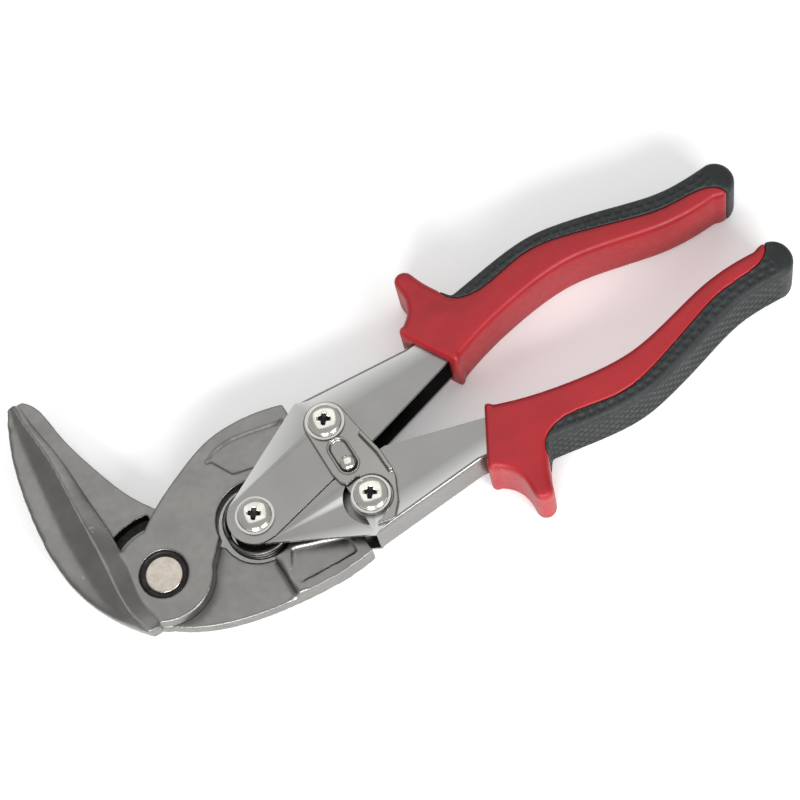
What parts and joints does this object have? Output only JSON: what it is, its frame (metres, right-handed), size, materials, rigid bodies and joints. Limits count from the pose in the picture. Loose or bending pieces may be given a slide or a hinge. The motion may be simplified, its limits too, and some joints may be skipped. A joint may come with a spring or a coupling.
{
  "type": "aviation snips",
  "caption": "Compound-action metal snips with offset upright blades, linked channel handles, thumb latch and two-tone moulded grips.",
  "frame": {"origin": "centre of the rest plane under the jaw pivot's nut side, on the jaw pivot axis", "axes": "+X along the tool from the jaw pivot to the grips; +Y from the tool's middle line towards the upper handle and the blade tips; +Z along the pivot axes, away from the surface it lies on"},
  "size_m": [0.2544, 0.127, 0.0242],
  "materials": {
    "jaw_steel": "satin forged and ground tool steel",
    "handle_steel": "satin nickel plate",
    "latch_steel": "satin nickel plate",
    "pivot_steel": "turned, slightly warm",
    "bright_bolts": "bright plated",
    "spring_steel": "drawn wire",
    "grip_red": "satin moulded",
    "grip_black": "textured soft overmould"
  },
  "bodies": {
    "upper_jaw_body": {"upper_jaw": "jaw_steel", "jaw_pivot_bolt": "pivot_steel", "jaw_pivot_washer": "pivot_steel", "jaw_pivot_nut": "pivot_steel", "upper_link_bolt": "bright_bolts", "upper_link_collar": "bright_bolts", "upper_link_spacer": "pivot_steel", "upper_link_washer": "bright_bolts", "upper_link_nut": "bright_bolts"},
    "lower_jaw_body": {"lower_jaw": "jaw_steel", "lower_link_bolt": "bright_bolts", "lower_link_collar": "bright_bolts", "lower_link_spacer": "pivot_steel", "lower_link_washer": "bright_bolts", "lower_link_nut": "bright_bolts"},
    "upper_handle_body": {"upper_handle": "handle_steel", "upper_grip": "grip_red", "upper_grip_overmould": "grip_black", "handle_pivot_bolt": "bright_bolts", "handle_pivot_collar": "bright_bolts", "handle_pivot_washer": "bright_bolts", "handle_pivot_nut": "bright_bolts", "return_spring": "spring_steel"},
    "lower_handle_body": {"lower_handle": "handle_steel", "lower_grip": "grip_red", "lower_grip_overmould": "grip_black"},
    "latch_body": {"latch_plate": "latch_steel", "latch_knob": "bright_bolts"}
  },
  "joints": [
    {"name": "jaw_pivot", "type": "hinge", "parent": "upper_jaw_body", "child": "lower_jaw_body", "pos_m": [0, 0, 0.0115], "axis": [0, 0, -1], "range_deg": [0, 16]},
    {"name": "upper_handle_pivot", "type": "hinge", "parent": "upper_jaw_body", "child": "upper_handle_body", "pos_m": [0.069, 0.0148, 0.0115], "axis": [0, 0, 1], "range_deg": [0, 8.88]},
    {"name": "lower_handle_pivot", "type": "hinge", "parent": "lower_jaw_body", "child": "lower_handle_body", "pos_m": [0.069, -0.0148, 0.0115], "axis": [0, 0, -1], "range_deg": [0, 8.88]},
    {"name": "latch_pivot", "type": "hinge", "parent": "upper_handle_body", "child": "latch_body", "pos_m": [0.069, 0.0148, 0.0115], "axis": [0, 0, 1], "range_deg": [0, 46.02]}
  ],
  "couplings": [
    {"joint": "upper_handle_pivot", "follows": "jaw_pivot", "ratio": 0.55398},
    {"joint": "lower_handle_pivot", "follows": "jaw_pivot", "ratio": 0.55398},
    {"joint": "latch_pivot", "follows": "jaw_pivot", "ratio": 2.875}
  ]
}
